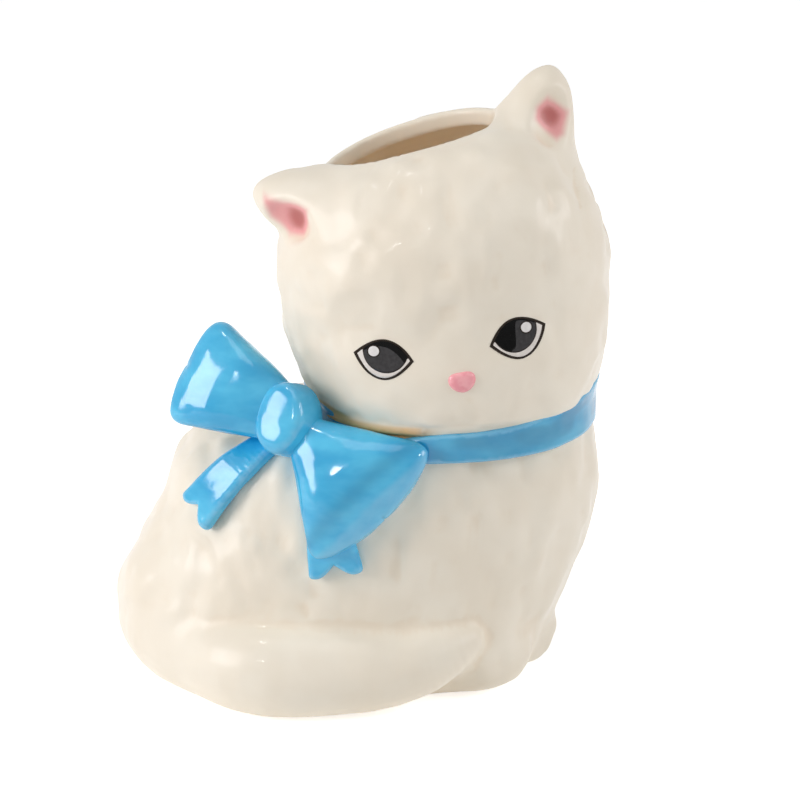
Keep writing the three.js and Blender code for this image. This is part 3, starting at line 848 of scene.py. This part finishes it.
# Materials
def linear(red, green, blue):
    """A colour given as 0 to 255 on screen, as the shader's numbers."""
    return tuple(
        v / 255 / 12.92 if v <= 10 else ((v / 255 + 0.055) / 1.055) ** 2.4 for v in (red, green, blue)
    ) + (1.0,)


def tone(name):
    return linear(*COLOURS[name])


class Nodes:
    """A short way to add and join the nodes of a material or of the world."""

    def __init__(self, name, world=None):
        self.material = world or bpy.data.materials.new(name)
        self.material.use_nodes = True
        self.tree = self.material.node_tree
        self.shader = self.tree.nodes.get("Principled BSDF")

    def add(self, kind, inputs=None, **settings):
        node = self.tree.nodes.new(kind)
        for key, value in settings.items():
            setattr(node, key, value)
        for key, value in (inputs or {}).items():
            self.put(node.inputs[key], value)
        return node

    def put(self, socket, value):
        if isinstance(value, bpy.types.NodeSocket):
            self.tree.links.new(value, socket)
        else:
            socket.default_value = value

    def finish(self, **inputs):
        for key, value in inputs.items():
            self.put(self.shader.inputs[key.replace("_", " ")], value)
        return self.material

    def mark(self, name):
        return self.add("ShaderNodeAttribute", attribute_name=name).outputs["Fac"]

    def noise(self, scale, detail=2.0, stretch=(1, 1, 1)):
        place = self.add("ShaderNodeTexCoord").outputs["Object"]
        mapping = self.add("ShaderNodeMapping", {"Vector": place, "Scale": stretch})
        inputs = {"Vector": mapping.outputs[0], "Scale": scale, "Detail": detail}
        return self.add("ShaderNodeTexNoise", inputs).outputs["Fac"]

    def range(self, value, low, high, to_low=0.0, to_high=1.0):
        node = self.add("ShaderNodeMapRange", interpolation_type="SMOOTHSTEP")
        for i, v in enumerate((value, low, high, to_low, to_high)):
            self.put(node.inputs[i], v)
        return node.outputs[0]

    def times(self, a, b):
        node = self.add("ShaderNodeMath", operation="MULTIPLY")
        self.put(node.inputs[0], a)
        self.put(node.inputs[1], b)
        return node.outputs[0]

    def mix(self, factor, a, b):
        node = self.add("ShaderNodeMix", data_type="RGBA")
        self.put(node.inputs[0], factor)
        self.put(node.inputs[6], a)
        self.put(node.inputs[7], b)
        return node.outputs[2]

    def bump(self, height, distance):
        return self.add("ShaderNodeBump", {"Height": height, "Distance": distance}).outputs[0]


def cream_glaze(name, shine, clear):
    """Cream with pink ears, ochre by the bow with a painted warmth on the cheek, and an inside painted near
    white as a painted lightening. shine is its gloss, clear its clear coat.
    """
    n = Nodes(name)
    cloudy = n.range(n.noise(45, 3), 0.3, 0.7)
    colour = n.mix(cloudy, tone("cream"), tone("cream_cloud"))
    colour = n.mix(n.range(n.mark("pool"), 0, 0.6, 0, 0.35), colour, tone("cream_pool"))
    pink = n.range(n.mark("blush"), 0.0, 0.55)
    grain = n.range(n.noise(400, 2), 0.2, 0.8, 0.9, 1.0)
    colour = n.mix(n.times(pink, grain), colour, tone("blush"))
    colour = n.mix(n.range(n.mark("blush"), 0.5, 1.0), colour, tone("blush_core"))
    # Ochre by the bow, and the painted warmth on the cheek beside it against the bow's blue light
    colour = n.mix(n.mark("ochre"), colour, tone("ochre"))
    # The inside is painted near white, a painted lightening for the little light that reaches the hollow
    colour = n.mix(n.mark("inside"), colour, tone("inside"))
    rough = n.range(n.noise(120, 2), 0.3, 0.7, 0.34, 0.42)
    normal = n.bump(n.noise(300, 2), 0.00004)
    return n.finish(
        Base_Color=colour, Roughness=rough, Normal=normal,
        Specular_IOR_Level=shine, Coat_Weight=clear, Coat_Roughness=0.04,
    )


def blue_glaze():
    n = Nodes("blue_glaze")
    brush = n.range(n.noise(60, 3, (1, 1, 2)), 0.3, 0.75)
    colour = n.mix(brush, tone("blue"), tone("blue_brushed"))
    # pool: deeper blue where the glaze pools in hollows, plus the painted shade on the collar and the line
    # by the lower loop's end
    colour = n.mix(n.range(n.mark("pool"), 0, 0.4, 0, 0.7), colour, tone("blue_pool"))
    # edge: paler blue where the glaze thins on edges, plus the painted reflection of the floor on the lower
    # loop's end
    colour = n.mix(n.range(n.mark("edge"), 0.08, 0.4, 0, 0.5), colour, tone("blue_edge"))
    rough = n.range(n.noise(150, 2), 0.3, 0.7, 0.1, 0.17)
    normal = n.bump(n.noise(220, 2), 0.00003)
    return n.finish(Base_Color=colour, Roughness=rough, Normal=normal, Specular_IOR_Level=0.7)


def pink_glaze():
    n = Nodes("pink_glaze")
    colour = n.mix(n.range(n.noise(500, 2), 0.3, 0.7), tone("nose"), tone("nose_deep"))
    rough = n.range(n.noise(300, 2), 0.3, 0.7, 0.15, 0.25)
    return n.finish(Base_Color=colour, Roughness=rough)


def transfer(name, colour, shade):
    n = Nodes(name)
    mixed = n.mix(n.range(n.noise(900, 2), 0.3, 0.7), linear(*colour), linear(*shade))
    rough = n.range(n.noise(600, 2), 0.3, 0.7, 0.2, 0.3)
    return n.finish(Base_Color=mixed, Roughness=rough, Specular_IOR_Level=0.08)


CREAM = cream_glaze("cream_glaze", shine=0.3, clear=0.12)
CREAM_INSIDE = cream_glaze("cream_inside", shine=0.0, clear=0.0)
BLUE = blue_glaze()
PINK = pink_glaze()
LINE = transfer("eye_line", (46, 38, 32), (53, 45, 39))
WHITE = transfer("eye_white", (238, 232, 226), (230, 224, 217))
IRIS = transfer("eye_iris", (70, 69, 70), (62, 61, 62))
LID = transfer("eye_lid_shade", (5, 5, 5), (9, 9, 9))
GLINT = transfer("eye_glint", (240, 238, 236), (233, 231, 229))


# Relief of the cast fur
def waves(place, lengths, start):
    """Noise with waves of these lengths along three axes, moved along each by its start."""
    return noise(*(value / length + move for value, length, move in zip(place, lengths, start)))


def fur(points):
    p = points.T
    q = to_head(p)
    on_head = fade(FUR_CHANGE, p[2] - NECK)
    warp = FUR_WARP["share"] * waves(p, FUR_WARP["waves"], FUR_WARP["start"])
    body = waves(p, FUR_TORSO["broad"], (warp, 0, warp))
    body = body + FUR_TORSO["share"] * waves(p, FUR_TORSO["fine"], (warp, 0, 0))
    crown = waves(q, FUR_HEAD["broad"], (0, warp, 0))
    crown = crown + FUR_HEAD["share"] * waves(q, FUR_HEAD["fine"], (warp, 0, 0))
    return body * (1 - on_head) * FUR_TORSO["height"] + crown * on_head * FUR_HEAD["height"]


def gaussian(a, b, sigma_a, sigma_b):
    return np.exp(-0.5 * ((a / sigma_a) ** 2 + (b / sigma_b) ** 2))


def face(points):
    """Soft modelling of the face: sockets, muzzle, cheeks and the crease under the nose."""
    u, v, w = to_head(points.T)
    front = fade(FACE_DEPTH, v)
    x = u - NOSE["x"]
    z = w - NOSE["height"]
    sockets = sum(
        gaussian(u - side * EYES["spacing"] / 2, w - EYES["height"] - SOCKETS["above"], *SOCKETS["reach"])
        for side in (-1, 1)
    )
    muzzle = gaussian(x, z + MUZZLE["below"], *MUZZLE["reach"])
    cheeks = sum(
        gaussian(x - side * CHEEKS["aside"], w - CHEEKS["level"], *CHEEKS["reach"]) for side in (-1, 1)
    )
    crease = gaussian(x - CREASE["aside"], z + CREASE["below"], *CREASE["reach"])
    forms = ((SOCKETS, sockets), (MUZZLE, muzzle), (CHEEKS, cheeks), (CREASE, crease))
    return front * sum(shape["height"] * form for shape, form in forms)


def calm(points):
    """How much fur stays: little on face and tail, none on ears, mouth rim and foot or under the collar."""
    p = points.T
    q = to_head(p)
    across = q[0] - CALM_FACE["middle"][0]
    up = q[2] - CALM_FACE["middle"][1]
    flat = CALM_FACE["share"] * fade(CALM_FACE["depth"], q[1]) * gaussian(across, up, *CALM_FACE["reach"])
    for ear in EARS:
        flat = np.maximum(flat, fade(CALM_EARS, horn(q, ear)))
    flat = np.maximum(flat, fade(CALM_MOUTH, slot(p)))
    flat = np.maximum(flat, fade(CALM_FOOT, p[2]))
    flat = np.maximum(flat, CALM_TAIL["share"] * fade(CALM_TAIL["fade"], rod(p, TAIL_ROUTE)))
    flat = np.maximum(flat, fade(CALM_NECK, np.abs(p[2] - NECK)))
    return 1 - np.clip(flat, 0, 1)


def scratches(points):
    """Depth of the lines scratched into the head's front."""
    x, y, z = points.T
    depth = np.zeros(len(points))
    for start, end in SCRATCHES:
        run = np.subtract(end, start)
        t = np.clip(((x - start[0]) * run[0] + (z - start[1]) * run[1]) / (run @ run), 0, 1)
        gap = np.hypot(x - start[0] - t * run[0], z - start[1] - t * run[1])
        depth = np.maximum(depth, SCRATCH["depth"] * np.exp(-(gap / SCRATCH["width"]) ** 2))
    return np.where(y < 0, depth, 0)


def relief(points):
    return fur(points) * calm(points) + face(points) - scratches(points)


# Cream pieces
def ochre_and_painted_cheek_warmth(points):
    """Ochre between chin and bow, and a faint painted warmth on the cheek beside the bow that offsets the
    blue light the bow bounces on to it.
    """
    p = points.T
    above = p[2] - NECK
    near_bow = np.minimum(np.minimum(loop(p, LOOP_LOWER), knot(p)), collar(p))
    ochre_band = fade(OCHRE["bow"], near_bow) * fade(OCHRE["low"], above)
    ochre_band = np.maximum(ochre_band, fade(OCHRE["bead"], rod(p, seam_route())))
    ochre_band = ochre_band * fade(OCHRE["high"], above)
    bow = np.minimum(loop(p, LOOP_UPPER), knot(p))
    # The cheek beside the bow is painted warmer, a painted warmth that offsets the blue light bounced on to
    # it from the bow
    painted_cheek_warmth = CHEEK_PAINTED_WARMTH["share"] * fade(CHEEK_PAINTED_WARMTH["bow"], bow) * fade(CHEEK_PAINTED_WARMTH["low"], above)
    behind_bow = fade(OCHRE_SPOT["x"], p[0]) * fade(OCHRE_SPOT["y"], p[1])
    return np.maximum(ochre_band, painted_cheek_warmth) * behind_bow


def cream_piece(name, field, low, high, nodes):
    """A piece of the cream body. low and high are the corners of the space in which it is sampled."""
    points, quads = sampled(field, low, high, STEP_BODY)
    normals = normals_of(field, points)
    inside = fade(INSIDE["fade"], hollow(points.T))
    outside = 1 - inside
    points = points + normals * (outside * relief(points))[:, None]
    pool = (hollowness(points, quads) * normals).sum(1) * outside
    q = to_head(points.T)
    blush = np.zeros(len(points))
    for ear in EARS:
        blush = np.maximum(blush, ear_blush(q, ear))
    marks = {
        "inside": inside,
        "pool": np.maximum(pool, 0) * CREAM_POOL,
        "blush": blush * outside,
        "ochre": ochre_and_painted_cheek_warmth(points) * outside,
    }
    piece = new_piece(name, points, quads, CREAM, nodes, marks)
    piece.data.materials.append(CREAM_INSIDE)
    matt = inside[quads].min(1) > INSIDE["least"]
    piece.data.polygons.foreach_set("material_index", matt.astype(np.int32))


cream_piece(
    "cat_torso", torso_piece, (-86, -66, -3), (82, 56, NECK + 3),
    ("torso_shell", "tail", "front_paw_left", "front_paw_right"),
)
cream_piece(
    "cat_head", head_piece, (-42, -56, NECK - 3), (84, 50, 204), ("head_shell", "ear_left", "ear_right"),
)


# Ribbon pieces
def blue_piece(name, field, low, high, node, step=STEP_RIBBON, painted=None):
    """A piece of the ribbon. painted gives deeper and paler blue for its points."""
    points, quads = sampled(field, low, high, step)
    normals = normals_of(field, points)
    x, y, z = points.T
    brushed = sum(height * noise(x / wave, y / wave, z / wave) for height, wave in BRUSH)
    points = points + normals * brushed[:, None]
    depth = (hollowness(points, quads, BLUE_ROUNDS) * normals).sum(1) / step
    pool, edge = painted(points) if painted else (0, 0)
    marks = {"pool": np.maximum(depth, 0) + pool, "edge": np.maximum(-depth, 0) + edge}
    return new_piece(name, points, quads, BLUE, (node,), marks)


def end_line_and_painted_reflection(points):
    """The lower loop's end: a deep line along its ridge, and a paler band past it, a painted reflection of
    the floor.
    """
    share = loop_frame(points.T, LOOP_LOWER)[0] / LOOP_LOWER["length"]
    line = END_LINE_AND_PAINTED_REFLECTION["line"] * np.exp(-((share - END_LINE_AND_PAINTED_REFLECTION["place"]) / END_LINE_AND_PAINTED_REFLECTION["spread"]) ** 2)
    return line, END_LINE_AND_PAINTED_REFLECTION["band"] * fade(END_LINE_AND_PAINTED_REFLECTION["fade"], share)


def collar_painted_shade_and_patches(points):
    """The collar's deeper blue: a painted shade over all of it, for the shade under the chin, and deeper
    glaze in random patches.
    """
    patches = fade(COLLAR_PAINTED_SHADE_AND_PATCHES["fade"], waves(points.T, COLLAR_PAINTED_SHADE_AND_PATCHES["waves"], (0, 0, 0)))
    return COLLAR_PAINTED_SHADE_AND_PATCHES["painted_shade"] + COLLAR_PAINTED_SHADE_AND_PATCHES["patches"] * patches, 0


def around(shape_low, shape_high):
    """The corners of a space about the knot."""
    return tuple(KNOT_MIDDLE + np.array(shape_low)), tuple(KNOT_MIDDLE + np.array(shape_high))


blue_piece(
    "ribbon_collar", collar, (-26, -52, 80), (80, 48, 101), "collar_ribbon", STEP_COLLAR, collar_painted_shade_and_patches,
)
blue_piece("ribbon_knot", knot, *around((-14, -13, -17), (14, 13, 17)), "bow_knot")
blue_piece(
    "ribbon_loop_upper", lambda p: loop(p, LOOP_UPPER),
    *around((-52, -24, -14), (14, 34, 42)), "bow_loop_upper",
)
blue_piece(
    "ribbon_loop_lower", lambda p: loop(p, LOOP_LOWER),
    *around((-20, -46, -52), (54, 14, 24)), "bow_loop_lower", painted=end_line_and_painted_reflection,
)
blue_piece(
    "ribbon_end_left", lambda p: strip(p, END_LEFT),
    *around((-44, -20, -46), (10, 20, 0)), "bow_end_left",
)
blue_piece(
    "ribbon_end_right", lambda p: strip(p, END_RIGHT),
    *around((-10, -26, -58), (32, 16, 2)), "bow_end_right",
)


# Face pieces
def face_place(u, w):
    """Points on the head's front at a distance across and a height, in the head's frame."""
    u, w = np.broadcast_arrays(np.asarray(u, float), np.asarray(w, float))
    near = np.full(u.shape, -1.25 * HEAD_FRONT)
    far = np.zeros(u.shape)
    for _ in range(40):
        middle = (near + far) / 2
        p = from_head(np.stack([u, middle, w], axis=-1))
        outside = skull(np.moveaxis(p, -1, 0)) > 0
        near = np.where(outside, middle, near)
        far = np.where(outside, far, middle)
    return from_head(np.stack([u, near, w], axis=-1))


def nose(p):
    u, v, w = to_head(p)
    x = u - NOSE["x"]
    z = w - NOSE["height"]
    half = NOSE["width"] / 2 * (1 + NOSE["taper"] * z / NOSE["tall"])
    outline = overlap(np.abs(x) - half, np.abs(z) - NOSE["tall"] / 2, NOSE_ROUNDING["outline"])
    bead = overlap(skull(p) - NOSE["out"], outline, NOSE_ROUNDING["front"])
    return np.maximum(overlap(bead, v, NOSE_ROUNDING["back"]), -skull(p) - NOSE["sunk"])


nose_place = face_place(NOSE["x"], NOSE["height"])
nose_points, nose_quads = sampled(nose, nose_place - (8, 7, 7), nose_place + (8, 7, 7), STEP_SMALL)
nose_points = nose_points + normals_of(skull, nose_points) * relief(nose_points)[:, None]
new_piece("cat_nose", nose_points, nose_quads, PINK, ("nose",))


def film(side, spans, low, high, layer):
    """A thin film on the head between two curves, given in an eye's own millimetres."""
    columns = FILM["columns"]
    rows = FILM["rows"]
    a = np.linspace(spans[0], spans[1], columns)[:, None]
    t = np.linspace(0, 1, rows)[None, :]
    b = low(a) + (high(a) - low(a)) * t
    tilt = math.radians(side * EYES["tilt"] + EYES["turn"])
    u = side * EYES["spacing"] / 2 + a * math.cos(tilt) - b * math.sin(tilt)
    w = EYES["height"] + a * math.sin(tilt) + b * math.cos(tilt)
    flat = face_place(u, w).reshape(-1, 3)
    normals = normals_of(skull, flat)
    level = relief(flat)[:, None]
    top = flat + normals * (level + FILM["lift"] + FILM["layer"] * layer)
    bottom = flat + normals * (level + FILM["base"])
    ids = np.arange(columns * rows).reshape(columns, rows)
    quads = np.stack([ids[:-1, :-1], ids[1:, :-1], ids[1:, 1:], ids[:-1, 1:]], axis=-1).reshape(-1, 4)
    rim = np.r_[ids[:, 0], ids[-1, 1:], ids[-2::-1, -1], ids[0, -2:0:-1]]
    wall = np.stack([rim, rim + len(top), np.roll(rim, -1) + len(top), np.roll(rim, -1)], axis=-1)
    faces = np.concatenate([quads, quads[:, ::-1] + len(top), wall])
    return np.concatenate([top, bottom]), faces


def lids(width, above, below):
    """Half an eye's width, and the curves of its upper and lower lid."""
    half = width / 2

    def upper(a):
        return above * (1 - (a / half) ** 2)

    def lower(a):
        return -below * (1 - (a / half) ** 2)

    return half, upper, lower


def eye(name, side, node):
    half, upper, lower = lids(EYES["width"], EYES["above"], EYES["below"])
    narrower = EYES["width"] - 2 * EYE_LINE / EYE_CORNER
    inner, under, over = lids(narrower, EYES["above"] - EYE_LINE, EYES["below"] - EYE_LINE)

    def iris_low(a, grow):
        run = np.clip((a - iris_x) / (IRIS_SIZE["half"] + grow), -1, 1)
        return np.minimum(IRIS_SIZE["z"] - (IRIS_SIZE["low"] + grow) * np.sqrt(1 - run ** 2), under(a))

    def iris_spans(grow):
        return iris_x - IRIS_SIZE["half"] - grow, iris_x + IRIS_SIZE["half"] + grow

    def disc(a, radius, sign):
        return GLINT_SIZE["z"] + sign * np.sqrt(np.maximum(0, radius ** 2 - (a - glint_x) ** 2))

    def brim(a):
        return under(a) + BRIM

    def shade_low(a):
        band = LID_BAND["depth"] - LID_BAND["slope"] * side * a
        shaded = LID_PATCH["depth"] * fade(LID_PATCH["fade"], a) + LID_PATCH["rest"]
        return np.maximum(under(a) - (band if side < 0 else shaded), iris_low(a, 0))

    iris_x = -side * IRIS_SIZE["inward"]
    glint_x = side * GLINT_SIZE["outward"]
    dot = GLINT_SIZE["radius"]
    ring = dot + GLINT_RING
    layers = [
        (LINE, (-half, half), lower, upper),
        (WHITE, (-inner, inner), over, under),
        (LINE, iris_spans(IRIS_RING), lambda a: iris_low(a, IRIS_RING), brim),
        (IRIS, iris_spans(0), lambda a: iris_low(a, 0), brim),
        (LID, iris_spans(0), shade_low, brim),
        (LINE, (glint_x - ring, glint_x + ring), lambda a: disc(a, ring, -1), lambda a: disc(a, ring, 1)),
        (GLINT, (glint_x - dot, glint_x + dot), lambda a: disc(a, dot, -1), lambda a: disc(a, dot, 1)),
    ]
    kinds = [LINE, WHITE, IRIS, LID, GLINT]
    points = []
    faces = []
    which = []
    for number, (material, spans, low, high) in enumerate(layers):
        made, quads = film(side, spans, low, high, number)
        faces.append(quads + sum(len(p) for p in points))
        points.append(made)
        which += [kinds.index(material)] * len(quads)
    piece = new_piece(name, np.concatenate(points), np.concatenate(faces), LINE, (node,))
    for material in kinds[1:]:
        piece.data.materials.append(material)
    piece.data.polygons.foreach_set("material_index", which)


eye("cat_eye_left", -1, "eye_left")
eye("cat_eye_right", 1, "eye_right")


# Stage: a pale floor, soft lights and the photograph's camera
def seen_directly(n):
    """1 for what the camera sees itself or in a gloss or glass, 0 for light on its way to a surface."""
    path = n.add("ShaderNodeLightPath")
    total = path.outputs["Is Camera Ray"]
    for kind in ("Is Glossy Ray", "Is Transmission Ray"):
        adding = n.add("ShaderNodeMath", {0: total, 1: path.outputs[kind]}, operation="ADD", use_clamp=True)
        total = adding.outputs[0]
    return total


def white_floor():
    """A pale diffuse floor that is seen as white, with the shadow kept."""
    n = Nodes("floor_white")
    n.finish(Base_Color=tone("floor"), Roughness=0.9)
    strength = n.times(seen_directly(n), FLOOR_GLOW)
    glow = n.add("ShaderNodeEmission", {"Color": (1, 1, 1, 1), "Strength": strength})
    both = n.add("ShaderNodeAddShader", {0: n.shader.outputs[0], 1: glow.outputs[0]})
    n.put(n.tree.nodes["Material Output"].inputs["Surface"], both.outputs[0])
    return n.material


def floor():
    mesh = bpy.data.meshes.new("floor")
    corners = [(x * FLOOR_REACH, y * FLOOR_REACH, 0) for x, y in ((-1, -1), (1, -1), (1, 1), (-1, 1))]
    mesh.from_pydata(corners, [], [(0, 1, 2, 3)])
    mesh.materials.append(white_floor())
    plane = bpy.data.objects.new("floor", mesh)
    bpy.context.scene.collection.objects.link(plane)


def sky():
    world = bpy.data.worlds.new("studio")
    world.use_nodes = True
    n = Nodes(world.name, world)
    background = n.tree.nodes["Background"]
    background.inputs["Color"].default_value = (1, 1, 1, 1)
    n.put(background.inputs["Strength"], n.range(seen_directly(n), 0.0, 1.0, SKY, 1.0))
    bpy.context.scene.world = world


def softbox(name, towards, distance, size, power, colour=(1, 1, 1)):
    light = bpy.data.lights.new(name, "AREA")
    light.color = colour
    light.shape = "RECTANGLE"
    light.size, light.size_y = size
    light.energy = power
    lamp = bpy.data.objects.new(name, light)
    bpy.context.scene.collection.objects.link(lamp)
    direction = -unit(towards)
    place = AIM - direction * distance
    side = unit(np.cross(direction, (0, 0, 1)))
    up = np.cross(side, direction)
    matrix = np.eye(4)
    matrix[:3] = np.column_stack([side, up, -direction, place])
    lamp.matrix_world = matrix.T.tolist()


def camera():
    target = (CAMERA_TARGET + SHIFT) / 1000
    rise = math.radians(CAMERA_RISE)
    data = bpy.data.cameras.new("camera")
    data.sensor_width = CAMERA_SENSOR
    data.lens = CAMERA_SENSOR * PIXELS_PER_RADIAN / PICTURE_WIDTH
    view = bpy.data.objects.new("camera", data)
    view.location = target + CAMERA_DISTANCE * np.array([0, -math.cos(rise), math.sin(rise)])
    view.rotation_euler = (math.pi / 2 - rise, 0, 0)
    bpy.context.scene.collection.objects.link(view)
    bpy.context.scene.camera = view


floor()
sky()
for lamp_name, lamp_values in LAMPS.items():
    softbox(lamp_name, *lamp_values)
camera()
bpy.context.scene.view_settings.view_transform = "Standard"
bpy.context.scene.cycles.max_bounces = BOUNCES
bpy.context.scene.cycles.diffuse_bounces = BOUNCES
